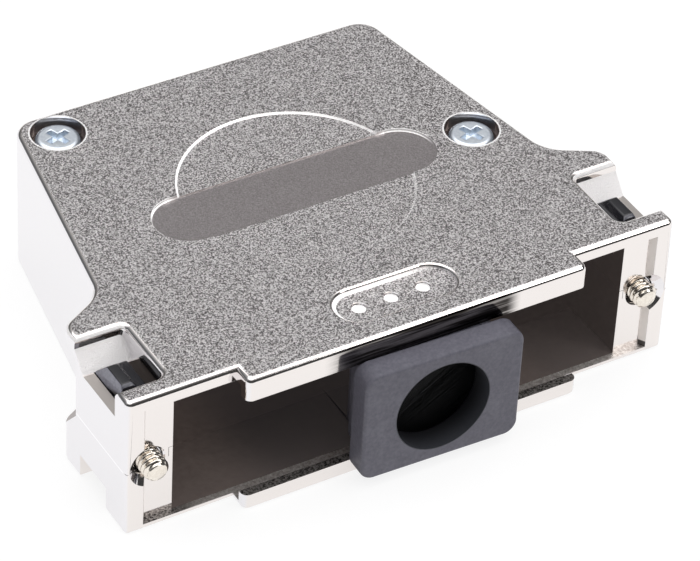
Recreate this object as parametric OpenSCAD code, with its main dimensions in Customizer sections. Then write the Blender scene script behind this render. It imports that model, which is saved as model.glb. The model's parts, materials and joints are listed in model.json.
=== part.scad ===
// Two-shell die-cast hood for a 50-way d-sub connector, in millimetres.
// X runs along the mating face, Y runs to the rear and Z is up.
// The origin is the middle of the mating face, level with the two jackscrews.

/* [Overall size] */
// Distance between the two jackscrew axes
screw_spacing = 61.11; // [50:0.01:75]
// Height over both shells
hood_height = 18.02; // [15:0.02:22]
// Height of the jackscrew axes above the hood's bottom
screw_rise = 8.6; // [7.1:0.02:10.4]
// Depth from the mating face to the rear wall
hood_depth = 48.1; // [40:0.1:60]

/* [Body] */
// Distance from a jackscrew's axis out to the side wall's line at the mating face
side_offset = 0.445; // [0:0.005:1.5]
// Sideways narrowing of each side wall per millimetre of depth
side_taper = 0.17; // [0.1:0.01:0.2]
// Thickness of the walls and ceiling, and of the floor
wall = 1.57; // [1.2:0.01:2]
floor_t = 0.75; // [0.6:0.01:1.2]
// Radius of the two rear corners
rear_corner_r = 2.8; // [2:0.1:5]
// Height of the outer parting line
parting_z = -0.3; // [-1:0.1:1]
// Height of the tongue above the parting line
tongue_h = 1.2; // [0.6:0.1:2]
// Thickness of the tongue
tongue_t = 0.45; // [0.3:0.05:0.6]

/* [Mouth] */
// Distance from a jackscrew's axis in to the mouth's side
mouth_inset = 2.755; // [2.4:0.005:4]
// Distance from the hood's top down to the mouth's upper rim
mouth_drop = 2.42; // [2.1:0.01:3.2]
// Distance from a jackscrew's axis out to the side of the shallow seat
seat_offset = 1.045; // [0.5:0.005:2]
// Distance from the hood's top down to the seat's upper edge
seat_drop = 1.62; // [1.3:0.01:2]
// Depth of the seat
seat_depth = 0.8; // [0.5:0.1:1.2]
// Sideways narrowing of the seat's two ends down to its floor
seat_draft = 0.5; // [0:0.05:0.8]
// Width of both lips
lip_width = 41.8; // [30:0.1:48]
// Reach of both lips in front of the mating face
lip_reach = 2.4; // [1.6:0.1:3]
// Corner radius of both lips, seen from above
lip_r = 0.8; // [0.3:0.1:1.3]
// Thickness of the upper lip
upper_lip_t = 2.92; // [2.4:0.01:3.4]
// Height of the lower lip's upturned edge over the hood's bottom
lower_lip_t = 2.05; // [1.6:0.01:2.4]
// Width of the channel behind that edge, for the connector's flange
channel_width = 1.3; // [0.8:0.05:1.5]

/* [Ears] */
// Distance from a jackscrew's axis out to the ear's outer face
ear_offset = 3.125; // [2.8:0.005:4]
// Thickness of the wall between a pocket and the ear's outer face
ear_wall_t = 1.27; // [0.8:0.01:1.6]
// Distance of the ears' rear wall from the mating face
ear_length = 11.3; // [9:0.1:14]
// Radius of the hollow fillet between that wall and the roof plate
ear_fillet_r = 1.75; // [1:0.05:2]
// Radius of an ear's rounded rear corner
ear_corner_r = 2.33; // [1.5:0.01:3]
// Radius of the hollow sweep from the ear to the side wall
sweep_r = 4.5; // [3:0.1:6]
// Distance from the centre of the rounded corner back to the sweep's centre
sweep_run = 7.4; // [7:0.05:10]
// Thickness of the plate that roofs an ear
plate_t = 1.25; // [1:0.05:1.6]
// Depth of the upper and lower notches below the hood's top and bottom
notch_depth = 3.47; // [3.2:0.01:4.5]
low_notch_depth = 3.2; // [2.4:0.01:3.8]
// Distance of the upper notch's front edge from the mating face
notch_front = 2.6; // [2.2:0.1:3]
// Overrun of the upper notch behind the ears' rear wall
notch_overrun = 0.35; // [0:0.05:0.5]
// Distance from a jackscrew's axis in to the upper notch's inner edge
notch_inset = 2.605; // [2.4:0.005:2.7]
// Radius of the notch's inner corners, at the front and at the rear
notch_corner_r = 1.1; // [0.4:0.1:1.5]
notch_heel_r = 0.6; // [0.2:0.1:1]
// Distance of the lower notch's front edge from the mating face
low_notch_front = 4.4; // [3:0.1:5]
// Metal behind the lower notch
low_notch_back = 1.0; // [0.5:0.1:1.5]
// Slope behind the lower ear: drop of its upper edge below the parting line,
// rise of its lower edge above the hood's bottom, and its reach to the rear
ear_slope_drop = 0.4; // [0.2:0.1:1]
ear_slope_rise = 4.6; // [3.6:0.01:5.4]
ear_slope_reach = 2.9; // [2:0.1:4]

/* [Pockets and jackscrews] */
// Width of a pocket
pocket_width = 3.6; // [3:0.05:4.4]
// Thickness of the walls in front of a pocket and behind it
pocket_front = 2.7; // [2.4:0.1:3]
pocket_back = 1.55; // [1.2:0.05:2]
// Diameter over the jackscrew's thread, 4-40
thread_d = 2.84; // [2.6:0.01:3.1]
// Radial play of the thread in the hole through the front wall
thread_play = 0.28; // [0.1:0.02:0.4]
// Diameter of the countersink at the mating face
countersink_d = 5.4; // [4.5:0.1:5.6]
// Reach of the thread in front of the mating face
tip_reach = 1.3; // [1:0.1:2]
// Length of the thread
thread_len = 4.3; // [3.5:0.1:5]
// Diameter of the jackscrew's plain shank
shank_d = 2.3; // [2:0.05:2.5]
// Radial play of the jackscrew's head in the pocket and in the hole behind it
head_play = 0.15; // [0.1:0.05:0.3]
// Length of the jackscrew's head
head_len = 2.3; // [1.5:0.1:3]
// Width and depth of the slot in the head
slot_width = 0.7; // [0.5:0.1:1]
slot_depth = 0.9; // [0.5:0.1:1.2]
// Radial running clearance around the shank
shank_play = 0.05; // [0.02:0.01:0.1]
// Gap along the axis at each end of the screw block
end_play = 0.08; // [0.05:0.01:0.15]
// Clearance on each side of the screw block
block_play = 0.05; // [0.02:0.01:0.1]
// Distance that the screw block can slide forward in its pocket
block_travel = 1.82; // [1.5:0.01:2.4]
// Height of the screw block's top above the floor of the upper notch
block_rise = 1.65; // [0.5:0.05:2]
// Reach of the screw block below the ceiling of the lower notch
block_drop = 0.3; // [0.1:0.05:0.6]

/* [Housing screws] */
// Distance of a housing screw's axis from the side wall, square to the rear wall
boss_inset = 4.47; // [4.4:0.01:5]
// Distance of the rear screw from the rear wall, and of the other from the mating face
rear_screw_inset = 3.8; // [3.6:0.1:8]
middle_screw_y = 24.1; // [22:0.1:30]
// Diameter and height of the pan head
pan_d = 5.2; // [4.6:0.1:5.8]
pan_h = 1.9; // [1.6:0.1:2.2]
// Depth of the head below the surface
pan_sink = 0.5; // [0.2:0.1:0.8]
// Diameter of the counterbore
counterbore_d = 6.2; // [5.8:0.1:6.6]
// Diameter of the screw thread
bolt_d = 3.0; // [2.5:0.1:3.2]
// Radial play of the screw in its lower boss and in its upper boss
bolt_play = 0.02; // [0.01:0.01:0.05]
bolt_clearance = 0.2; // [0.1:0.05:0.3]
// Wall of the bosses around the counterbore
boss_wall = 1.2; // [0.8:0.1:1.3]

/* [Relief on the upper shell] */
// Distance of the disc and the bar from the mating face
disc_y = 24.33; // [22:0.01:27]
// Radius and depth of the sunk disc
disc_r = 13.2; // [10:0.1:14]
disc_sink = 0.2; // [0.1:0.05:0.3]
// Metal left between the sunk bar and the middle screw's counterbore
bar_gap = 1.93; // [0.5:0.01:4]
// Width and depth of the sunk bar
bar_width = 8.0; // [6:0.1:9]
bar_sink = 0.35; // [0.25:0.05:0.5]
// Length, width and depth of the sunk pad behind the upper lip
pad_length = 14.4; // [12:0.1:18]
pad_width = 5.3; // [4:0.1:6]
pad_sink = 0.5; // [0.3:0.05:0.6]
// Distance of the pad's middle from the mating face
pad_y = 3.25; // [3:0.05:4]
// Spacing, radius and depth of the three dimples in the pad
dimple_pitch = 3.95; // [3:0.05:4.2]
dimple_r = 0.9; // [0.7:0.05:1.1]
dimple_sink = 0.25; // [0.1:0.05:0.3]

/* [Cable outlet and grommet] */
// Width of the grommet's flanges
grommet_width = 19.2; // [15:0.1:22]
// Gap between the grommet's neck and the upper lip
grommet_room = 0.2; // [0.05:0.05:3]
// Thickness of the front and rear flanges
front_flange_t = 3.0; // [2:0.1:4]
rear_flange_t = 2.4; // [1.5:0.1:3]
// Gap in front of the lips, and depth of the rear flange behind the mating face
groove_play = 0.35; // [0.3:0.05:0.6]
groove_run = 0.35; // [0.3:0.05:0.8]
// Depth of the groove at the top and bottom, and at the two sides
groove_depth = 0.7; // [0.6:0.05:1.5]
groove_side = 1.5; // [0.8:0.05:2.4]
// Inset of the rear flange from the front flange, at the sides and at the top and bottom
rear_flange_inset = 2.7; // [0:0.05:3]
rear_flange_drop = 0.3; // [0.1:0.05:0.5]
// Rubber left above and below the bore, inside the groove
bore_wall = 0.775; // [0.4:0.005:3]
// Corner radius of the grommet's flanges
grommet_corner_r = 1.6; // [1:0.1:3]
// Sideways place and turn of the grommet as it rests in the mouth
grommet_x = 1.45; // [-8:0.05:8]
grommet_turn = -1.7; // [-2:0.1:2]
// Clearance around the groove in the rear outlet
outlet_play = 0.1; // [0.05:0.05:0.3]

/* [Hidden] */

// Facets of arcs in previews, and an overlap for cuts that run out of the metal
$fn = 64;
over = 1;

bottom_z = -screw_rise;
top_z = hood_height - screw_rise;
screw_x = screw_spacing / 2;
ear_x = screw_x + ear_offset;
side_front_x = screw_x + side_offset;
seat_x = screw_x + seat_offset;
mouth_x = screw_x - mouth_inset;
notch_inner_x = screw_x - notch_inset;
side_slant = sqrt(1 + side_taper * side_taper);
floor_z = bottom_z + floor_t;
ceiling_z = top_z - wall;
mouth_top = top_z - mouth_drop;
seat_top = top_z - seat_drop;
tongue_z = parting_z + tongue_h;
tongue_gap = 0.05;
ear_corner_y = ear_length + ear_fillet_r;
sweep_y = ear_corner_y + sweep_run;
notch_z = top_z - notch_depth;
notch_rear = ear_length + notch_overrun;
low_notch_z = bottom_z + low_notch_depth;
pocket_rear = ear_length - pocket_back;
block_front = pocket_front + end_play + block_travel;
block_top = notch_z + block_rise;
thread_hole_d = thread_d + 2 * thread_play;
head_d = pocket_width - 2 * head_play;
pan_seat_z = top_z - pan_sink - pan_h;
bolt_tip_z = floor_z + 2.2;
boss_r = counterbore_d / 2 + boss_wall;
boss_joint_z = tongue_z;
head_front_y = pocket_rear + end_play;
rear_screw_y = hood_depth - rear_screw_inset;
rear_screw_x = side_x(rear_screw_y) - boss_inset;
middle_screw_x = side_x(middle_screw_y) - boss_inset;
bar_length = 2 * (middle_screw_x - counterbore_d / 2 - bar_gap);
groove_width = lip_reach + groove_play + groove_run;
lip_top = bottom_z + lower_lip_t;
neck_height = top_z - upper_lip_t - lip_top - grommet_room;
grommet_height = neck_height + 2 * groove_depth;
grommet_bore = neck_height - 2 * bore_wall;
outlet_x = grommet_width / 2 - groove_side + outlet_play;
outlet_z = neck_height / 2 + outlet_play;

silver = [0.62, 0.62, 0.64];
zinc = [0.72, 0.76, 0.82];
black = [0.05, 0.05, 0.07];
rubber = [0.16, 0.18, 0.23];

// Half width of the body at a given depth
function side_x(y) = side_front_x - side_taper * y;

// Point on the side wall's line, moved inwards by inset
function side_point(y, inset) = [side_x(y) - inset * side_slant, y];

// Unit vector at a given angle
function unit(a) = [cos(a), sin(a)];

// Both sides of something drawn on the right
module both_sides() {
    children();
    mirror([1, 0, 0]) children();
}

// Stadium outline
module stadium(length, width) {
    square([length - width, width], center = true);
    both_sides() translate([(length - width) / 2, 0]) circle(d = width);
}

// Rectangle with rounded corners
module rounded_rect(width, height, r) {
    square([width - 2 * r, height], center = true);
    square([width, height - 2 * r], center = true);
    for (x = [-1, 1], y = [-1, 1])
        translate([x * (width / 2 - r), y * (height / 2 - r)]) circle(r = r);
}

// Right half of the body's outline, moved inwards by inset, from depth y0 to the rear
module body_half(inset, y0, rear_inset, corner_r, front_x) {
    yc = hood_depth - rear_inset - corner_r;
    xc = side_point(yc, inset + corner_r)[0];
    toe = [xc, yc] + corner_r * [1, side_taper] / side_slant;
    bend_y = min(yc, (side_front_x - inset * side_slant - front_x) / side_taper);
    front = bend_y > y0 ? [[front_x, y0], [front_x, bend_y]] : [side_point(y0, inset)];
    polygon(concat([[0, y0]], front, [toe, [xc, yc], [xc, hood_depth - rear_inset],
        [0, hood_depth - rear_inset]]));
    translate([xc, yc]) circle(r = corner_r);
}

// Outline of the walls
module wall_plan() {
    both_sides() body_half(0, 0, 0, rear_corner_r, side_front_x);
}

// Outline of the cavity, grown by extra
module cavity_plan(extra, y0) {
    both_sides() body_half(wall - extra, y0, wall - extra, rear_corner_r - wall + extra,
        mouth_x + extra);
}

// Right ear: rounded rear corner, straight run and hollow sweep into the side wall
module ear_half() {
    corner = [ear_x - ear_corner_r, ear_corner_y];
    sweep = side_point(sweep_y, -sweep_r);
    away = sweep - corner;
    lean = atan2(away[1], away[0]) - acos((ear_corner_r + sweep_r) / norm(away));
    toe = sweep - sweep_r * [1, side_taper] / side_slant;
    difference() {
        union() {
            polygon([[0, 0], [ear_x, 0], [ear_x, ear_corner_y], corner,
                corner + ear_corner_r * unit(lean), sweep - sweep_r * unit(lean), toe,
                [0, toe[1]]]);
            translate(corner) circle(r = ear_corner_r);
        }
        translate(sweep) circle(r = sweep_r);
    }
}

// Outline of the top and bottom plates
module plate_plan() {
    wall_plan();
    both_sides() ear_half();
}

// Hollow of both shells, narrower at the ceiling where the notches come close to it
module cavity() {
    bevel = 2.9;
    intersection() {
        translate([0, 0, floor_z]) linear_extrude(ceiling_z - floor_z) cavity_plan(0, notch_front);
        rotate([90, 0, 0]) translate([0, 0, -hood_depth]) linear_extrude(hood_depth)
            polygon([[-mouth_x, floor_z], [mouth_x, floor_z], [mouth_x, ceiling_z - bevel],
                [mouth_x - bevel, ceiling_z], [bevel - mouth_x, ceiling_z],
                [-mouth_x, ceiling_z - bevel]]);
    }
    translate([-mouth_x, -over, floor_z])
        cube([2 * mouth_x, notch_front + over + 0.01, mouth_top - floor_z]);
}

// Outline of the shallow seat around the mouth and of the room in front of it, from y0
module seat_plan(y0) {
    floor_x = seat_x - seat_draft;
    polygon([[-seat_x, y0], [seat_x, y0], [seat_x, 0], [floor_x, seat_depth],
        [-floor_x, seat_depth], [-seat_x, 0]]);
}

// Half of the rear outlet's opening and the room behind the grommet's cheeks
module outlet() {
    translate([0, hood_depth + over, 0]) rotate([90, 0, 0]) linear_extrude(wall + 2 * over)
        rounded_rect(2 * outlet_x, 2 * outlet_z, grommet_corner_r);
}

// Two cheeks that hold the grommet's inner flange behind the outlet, from z0 to z1
module cheeks(z0, z1) {
    cheek_t = 1.2;
    cheek_len = rear_flange_t + wall + 1;
    cheek_x = grommet_width / 2 - rear_flange_inset + outlet_play;
    both_sides() translate([cheek_x, hood_depth - cheek_len, z0])
        cube([cheek_t, cheek_len - wall / 2, z1 - z0]);
}

// Openings in both ears that the jackscrew runs through, on the right
module screw_way() {
    translate([screw_x, 0, 0]) rotate([-90, 0, 0]) {
        translate([0, 0, -over]) cylinder(d = thread_hole_d, h = pocket_front + 2 * over);
        translate([0, 0, -0.01]) cylinder(d1 = countersink_d, d2 = thread_hole_d,
            h = (countersink_d - thread_hole_d) / 2);
        translate([0, 0, pocket_rear - over])
            cylinder(r = head_d / 2 + head_play, h = pocket_back + ear_slope_reach + 2 * over);
    }
}

// Pocket for the screw block between two heights, on the right
module pocket(z0, z1) {
    inner_x = screw_x - pocket_width / 2;
    outer_x = max(ear_x - ear_wall_t, screw_x + pocket_width / 2);
    translate([inner_x, pocket_front, z0])
        cube([outer_x - inner_x, pocket_rear - pocket_front, z1 - z0]);
}

// Outline of the upper notch with its rounded inner corners, on the right
module notch_plan() {
    width = ear_x - notch_inner_x + over;
    length = notch_rear - notch_front;
    inner_r = max(notch_corner_r, notch_heel_r);
    translate([notch_inner_x, notch_front]) {
        translate([inner_r, 0]) square([width - inner_r, length]);
        translate([0, notch_corner_r]) square([width, length - notch_corner_r - notch_heel_r]);
        translate([notch_heel_r, length / 2]) square([width - notch_heel_r, length / 2]);
        translate([notch_corner_r, notch_corner_r]) circle(r = notch_corner_r);
        translate([notch_heel_r, length - notch_heel_r]) circle(r = notch_heel_r);
    }
}

// Notch above the pocket, with a sloping ramp from the pocket's rear wall, on the right
module upper_notch() intersection() {
    translate([0, 0, notch_z]) linear_extrude(top_z) notch_plan();
    rotate([90, 0, 90]) linear_extrude(ear_x + 2 * over) polygon([
        [0, notch_z], [pocket_rear, notch_z], [notch_rear, top_z - plate_t],
        [notch_rear + over, top_z - plate_t], [notch_rear + over, top_z + over],
        [0, top_z + over]
    ]);
}

// Solid of the upper ear below its plate, with a hollow fillet at the rear, on the right
module upper_ear() {
    fillet_z = top_z - plate_t;
    difference() {
        translate([mouth_x - over, 0, parting_z])
            cube([ear_x - mouth_x + over, ear_corner_y, fillet_z - parting_z]);
        translate([mouth_x - 2 * over, ear_length, parting_z - over])
            cube([ear_x, ear_fillet_r + over, fillet_z - ear_fillet_r - parting_z + over]);
        translate([mouth_x - 2 * over, ear_corner_y, fillet_z - ear_fillet_r])
            rotate([0, 90, 0]) cylinder(r = ear_fillet_r, h = ear_x);
    }
}

// Wedge behind the lower ear that clears a screwdriver's way, on the right
module lower_wedge() {
    slope_top = parting_z - ear_slope_drop;
    slope_bottom = bottom_z + ear_slope_rise;
    difference() {
        rotate([90, 0, 90]) linear_extrude(ear_x + over)
            polygon([[ear_length, parting_z + over], [ear_length, slope_top],
                [ear_length + ear_slope_reach, slope_bottom], [hood_depth, slope_bottom],
                [hood_depth, parting_z + over]]);
        translate([0, 0, bottom_z]) linear_extrude(hood_height) wall_plan();
    }
}

// Outline of a lip in front of the mating face, with rounded corners
module lip_plan() {
    inner_x = lip_width / 2 - lip_r;
    translate([-lip_width / 2, lip_r - lip_reach]) square([lip_width, lip_reach - lip_r + over]);
    translate([-inner_x, -lip_reach]) square([2 * inner_x, lip_reach + over]);
    both_sides() translate([inner_x, lip_r - lip_reach]) circle(r = lip_r);
}

// Upper shell: roof plate, walls, ears, lip, bosses and the relief on its top
module upper_shell() color(silver) difference() {
    union() {
        difference() {
            union() {
                translate([0, 0, parting_z]) linear_extrude(top_z - parting_z) wall_plan();
                translate([0, 0, top_z - plate_t]) linear_extrude(plate_t) plate_plan();
                both_sides() upper_ear();
                translate([0, 0, top_z - upper_lip_t]) linear_extrude(upper_lip_t)
                    lip_plan();
            }
            cavity();
            translate([0, 0, floor_z]) linear_extrude(seat_top - floor_z) seat_plan(-over);
            translate([0, 0, parting_z - over]) linear_extrude(tongue_h + over + tongue_gap)
                cavity_plan(tongue_t + tongue_gap, seat_depth);
        }
        intersection() {
            translate([0, 0, boss_joint_z]) linear_extrude(top_z - boss_joint_z) wall_plan();
            union() {
                upper_boss(-rear_screw_x, rear_screw_y);
                upper_boss(middle_screw_x, middle_screw_y);
            }
        }
        cheeks(tongue_z + tongue_gap, ceiling_z + wall / 2);
    }
    bolt_way(-rear_screw_x, rear_screw_y);
    bolt_way(middle_screw_x, middle_screw_y);
    outlet();
    both_sides() {
        upper_notch();
        pocket(parting_z - over, top_z);
        screw_way();
    }
    relief();
}

// Boss under the roof that carries a housing screw's head
module upper_boss(x, y) {
    translate([x, y, boss_joint_z]) cylinder(r = boss_r, h = ceiling_z + wall / 2 - boss_joint_z);
}

// Counterbore and clearance hole of a housing screw
module bolt_way(x, y) {
    translate([x, y, pan_seat_z]) cylinder(d = counterbore_d, h = top_z);
    translate([x, y, bottom_z / 2]) cylinder(r = bolt_d / 2 + bolt_clearance, h = hood_height);
}

// Sunk disc, bar, pad and dimples in the roof
module relief() {
    translate([0, disc_y, top_z - disc_sink]) cylinder(r = disc_r, h = over);
    translate([0, disc_y, top_z - bar_sink]) linear_extrude(over) stadium(bar_length, bar_width);
    translate([0, pad_y, top_z - pad_sink]) linear_extrude(over) stadium(pad_length, pad_width);
    for (i = [-1, 0, 1])
        translate([i * dimple_pitch - 0.45, pad_y, top_z - pad_sink - dimple_sink])
            cylinder(r = dimple_r, h = over);
}

// Lower shell: floor, walls with a tongue, thick ears, lip and threaded bosses
module lower_shell() color(silver) difference() {
    union() {
        difference() {
            union() {
                translate([0, 0, bottom_z]) linear_extrude(parting_z - bottom_z) plate_plan();
                translate([0, 0, bottom_z]) linear_extrude(lower_lip_t) lip_plan();
                intersection() {
                    translate([0, 0, parting_z - over]) linear_extrude(tongue_h + over)
                        cavity_plan(tongue_t, seat_depth);
                    translate([0, 0, bottom_z]) linear_extrude(hood_height) wall_plan();
                }
            }
            cavity();
            translate([0, 0, floor_z]) linear_extrude(hood_height) seat_plan(-channel_width);
            both_sides() lower_wedge();
        }
        intersection() {
            translate([0, 0, bottom_z]) linear_extrude(boss_joint_z - bottom_z)
                cavity_plan(tongue_t, seat_depth);
            union() {
                lower_boss(-rear_screw_x, rear_screw_y);
                lower_boss(middle_screw_x, middle_screw_y);
                cheeks(floor_z - floor_t / 2, tongue_z);
            }
        }
    }
    for (p = [[-rear_screw_x, rear_screw_y], [middle_screw_x, middle_screw_y]])
        translate([p[0], p[1], floor_z + 1]) cylinder(d = bolt_d, h = hood_height);
    outlet();
    both_sides() {
        pocket(low_notch_z - 1, top_z);
        screw_way();
        translate([screw_x - pocket_width / 2, low_notch_front, bottom_z - over])
            cube([ear_x, ear_length - low_notch_back - low_notch_front, low_notch_depth + over]);
    }
}

// Boss on the floor that a housing screw threads into
module lower_boss(x, y) {
    translate([x, y, floor_z - floor_t / 2])
        cylinder(r = bolt_d / 2 + 1.6, h = boss_joint_z - floor_z + floor_t / 2);
}

// Jackscrew about the Y axis: tip, thread, plain shank and slotted head
module jackscrew() color(zinc) translate([screw_x, 0, 0]) rotate([-90, 0, 0]) {
    thread_end = thread_len - tip_reach;
    head_end = head_front_y + head_len;
    tip_bevel = 0.45;
    neck_taper = 0.3;
    collar_t = 0.6;
    collar_y = block_front - end_play;
    difference() {
        rotate_extrude() polygon([
            [0, -tip_reach], [thread_d / 2 - tip_bevel, -tip_reach],
            [thread_d / 2, tip_bevel - tip_reach], [thread_d / 2, thread_end],
            [shank_d / 2, thread_end + neck_taper], [shank_d / 2, collar_y - collar_t],
            [thread_d / 2, collar_y - collar_t], [thread_d / 2, collar_y],
            [shank_d / 2, collar_y], [shank_d / 2, head_front_y], [head_d / 2, head_front_y],
            [head_d / 2, head_end - 0.3], [head_d / 2 - 0.3, head_end], [0, head_end]
        ]);
        translate([-head_d, -slot_width / 2, head_end - slot_depth])
            cube([2 * head_d, slot_width, slot_depth + over]);
    }
}

// Screw block: sloped moulding with a bore for the shank and a snap-on slot, on the right
module screw_block() color(black) {
    half_w = pocket_width / 2 - block_play;
    length = pocket_rear - block_front;
    base_z = low_notch_z - block_drop;
    front_bevel = 0.4;
    rear_bevel = 1.5;
    translate([screw_x, block_front, 0]) difference() {
        intersection() {
            translate([0, length, 0]) rotate([90, 0, 0]) linear_extrude(length) polygon([
                [half_w, base_z], [half_w, block_top - 1.7], [1.1, block_top],
                [-0.1, block_top], [-0.6, block_top - 0.8], [-half_w, block_top - 0.9],
                [-half_w, base_z]
            ]);
            translate([-pocket_width, 0, 0]) rotate([90, 0, 90])
                linear_extrude(2 * pocket_width) polygon([
                    [0, base_z - over], [0, block_top - front_bevel], [front_bevel, block_top],
                    [length - rear_bevel, block_top], [length, block_top - rear_bevel],
                    [length, base_z - over]
                ]);
        }
        rotate([-90, 0, 0]) translate([0, 0, -over])
            cylinder(r = shank_d / 2 + shank_play, h = length + 2 * over);
        translate([-shank_d * 0.42, -over, -hood_height])
            cube([shank_d * 0.84, length + 2 * over, hood_height]);
    }
}

// Housing screw: pan head with a cross recess, and its shank
module housing_screw(x, y) color(zinc) translate([x, y, 0]) {
    rim = 0.6;
    recess_len = 2.9;
    recess_w = 0.75;
    difference() {
        union() {
            rotate_extrude() polygon([
                [0, pan_seat_z], [pan_d / 2, pan_seat_z], [pan_d / 2, pan_seat_z + pan_h - rim],
                [pan_d / 2 - rim * 0.3, pan_seat_z + pan_h - rim * 0.3],
                [pan_d / 2 - rim, pan_seat_z + pan_h], [0, pan_seat_z + pan_h]
            ]);
            translate([0, 0, bolt_tip_z])
                cylinder(r = bolt_d / 2 - bolt_play, h = pan_seat_z - bolt_tip_z + 0.1);
        }
        for (a = [20, 110])
            rotate(a) translate([-recess_len / 2, -recess_w / 2, pan_seat_z + pan_h - 1])
                cube([recess_len, recess_w, over + 1]);
    }
}

// Grommet resting in the mouth: two flanges, a groove between them and the cable bore
module grommet() color(rubber) {
    groove_w = grommet_width - 2 * groove_side;
    rear_w = grommet_width - 2 * rear_flange_inset;
    rear_h = grommet_height - 2 * rear_flange_drop;
    length = front_flange_t + groove_width + rear_flange_t;
    translate([grommet_x, groove_run + rear_flange_t, lip_top + neck_height / 2])
        rotate([0, 0, grommet_turn]) rotate([90, 0, 0]) difference() {
            union() {
                linear_extrude(rear_flange_t)
                    rounded_rect(rear_w, rear_h, grommet_corner_r);
                translate([0, 0, rear_flange_t]) linear_extrude(groove_width)
                    rounded_rect(groove_w, neck_height, grommet_corner_r);
                translate([0, 0, length - front_flange_t]) linear_extrude(front_flange_t)
                    rounded_rect(grommet_width, grommet_height, grommet_corner_r);
            }
            translate([0, 0, -over]) cylinder(d = grommet_bore, h = length + 2 * over);
        }
}

upper_shell();
lower_shell();
mirror([1, 0, 0]) jackscrew();  // left_jackscrew
jackscrew();  // right_jackscrew
mirror([1, 0, 0]) screw_block();  // left_screw_block
screw_block();  // right_screw_block
housing_screw(-rear_screw_x, rear_screw_y);  // rear_left_screw
housing_screw(middle_screw_x, middle_screw_y);  // middle_right_screw
grommet();
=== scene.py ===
# %% [markdown]
# # A d-sub hood: looks on top of a CAD frame
# The hood is two nickel-plated castings, with a jackscrew in a black block at each ear, two
# housing screws on top and a rubber grommet in its mouth. The CAD model gives every solid its
# true place and size, in metres. This script adds the finishes, the rounded edges and fine
# threads, the camera and the light.

# %% Load the frame
import json
import math

import bmesh
import bpy
from mathutils import Matrix, Vector


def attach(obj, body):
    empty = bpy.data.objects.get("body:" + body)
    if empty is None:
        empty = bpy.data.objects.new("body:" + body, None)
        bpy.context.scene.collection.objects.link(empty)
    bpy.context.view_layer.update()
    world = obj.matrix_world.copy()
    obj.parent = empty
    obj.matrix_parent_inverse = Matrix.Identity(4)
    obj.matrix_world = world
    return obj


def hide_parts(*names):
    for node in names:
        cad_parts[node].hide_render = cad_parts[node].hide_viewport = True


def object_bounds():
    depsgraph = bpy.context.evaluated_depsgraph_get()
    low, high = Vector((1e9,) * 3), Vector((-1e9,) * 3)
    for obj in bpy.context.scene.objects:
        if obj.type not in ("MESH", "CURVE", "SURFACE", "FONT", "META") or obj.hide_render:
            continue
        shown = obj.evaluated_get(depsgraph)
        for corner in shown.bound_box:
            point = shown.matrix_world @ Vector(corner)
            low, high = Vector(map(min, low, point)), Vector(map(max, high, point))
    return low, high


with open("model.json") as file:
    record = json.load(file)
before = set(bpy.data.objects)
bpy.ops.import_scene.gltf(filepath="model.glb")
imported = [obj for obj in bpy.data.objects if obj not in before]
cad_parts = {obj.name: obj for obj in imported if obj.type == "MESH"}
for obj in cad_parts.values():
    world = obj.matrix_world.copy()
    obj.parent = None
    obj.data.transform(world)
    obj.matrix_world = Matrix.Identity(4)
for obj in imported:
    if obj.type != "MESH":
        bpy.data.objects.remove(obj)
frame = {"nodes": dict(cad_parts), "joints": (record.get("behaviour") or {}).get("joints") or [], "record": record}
cad_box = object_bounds()
nodes = frame["nodes"]


def mm(values):
    """Metres as rounded millimetres, for printing."""
    return [round(value * 1000, 2) for value in values]


print("nodes", sorted(nodes))
print("CAD box in mm", [mm(corner) for corner in cad_box])

# %% [markdown]
# ## Camera
# The photograph was taken with a long lens from the front left. Its distance, lens and tilt
# were worked out from the known screw spacing, so they are plain numbers here. A small shift
# places the object in the frame as in the photograph.

# %% Camera
AZIMUTH = math.radians(32.54)
ELEVATION = math.radians(38.77)
ROLL = math.radians(3.41)
CAMERA_PLACE = Vector((-0.17482, -0.26338, 0.26782))
LENS_MM = 199.56
SENSOR_MM = 36
SHIFT = (-0.0122, -0.0115)


def camera_axes():
    """Right, up and forward directions of the camera."""
    forward = Vector((
        math.sin(AZIMUTH) * math.cos(ELEVATION),
        math.cos(AZIMUTH) * math.cos(ELEVATION),
        -math.sin(ELEVATION),
    ))
    level_right = forward.cross(Vector((0, 0, 1))).normalized()
    level_up = level_right.cross(forward)
    right = level_right * math.cos(ROLL) + level_up * math.sin(ROLL)
    up = level_up * math.cos(ROLL) - level_right * math.sin(ROLL)
    return right, up, forward


right, up, forward = camera_axes()
camera_data = bpy.data.cameras.new("photo_camera")
camera_data.sensor_width = SENSOR_MM
camera_data.lens = LENS_MM
camera_data.shift_x, camera_data.shift_y = SHIFT
camera_data.clip_start = 0.01
camera_data.clip_end = 20
camera = bpy.data.objects.new("photo_camera", camera_data)
camera.matrix_world = Matrix((
    (right.x, up.x, -forward.x, CAMERA_PLACE.x),
    (right.y, up.y, -forward.y, CAMERA_PLACE.y),
    (right.z, up.z, -forward.z, CAMERA_PLACE.z),
    (0, 0, 0, 1),
))
bpy.context.scene.collection.objects.link(camera)
bpy.context.scene.camera = camera
print("camera looks along", [round(c, 3) for c in forward])

# %% [markdown]
# ## Helpers for node trees
# Materials and the world are small node trees. Each node has to be added, set and linked, which
# takes many lines when written out. These helpers do one such job each, so that the trees below
# read as a list of what they are made of.

# %% Helpers for node trees


def new_material(name):
    """An empty Principled material: the material, its node tree and its shader."""
    material = bpy.data.materials.new(name)
    material.use_nodes = True
    return material, material.node_tree, material.node_tree.nodes["Principled BSDF"]


def add(tree, kind, **values):
    """A new node with its properties set."""
    node = tree.nodes.new(kind)
    for key, value in values.items():
        setattr(node, key, value)
    return node


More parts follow.
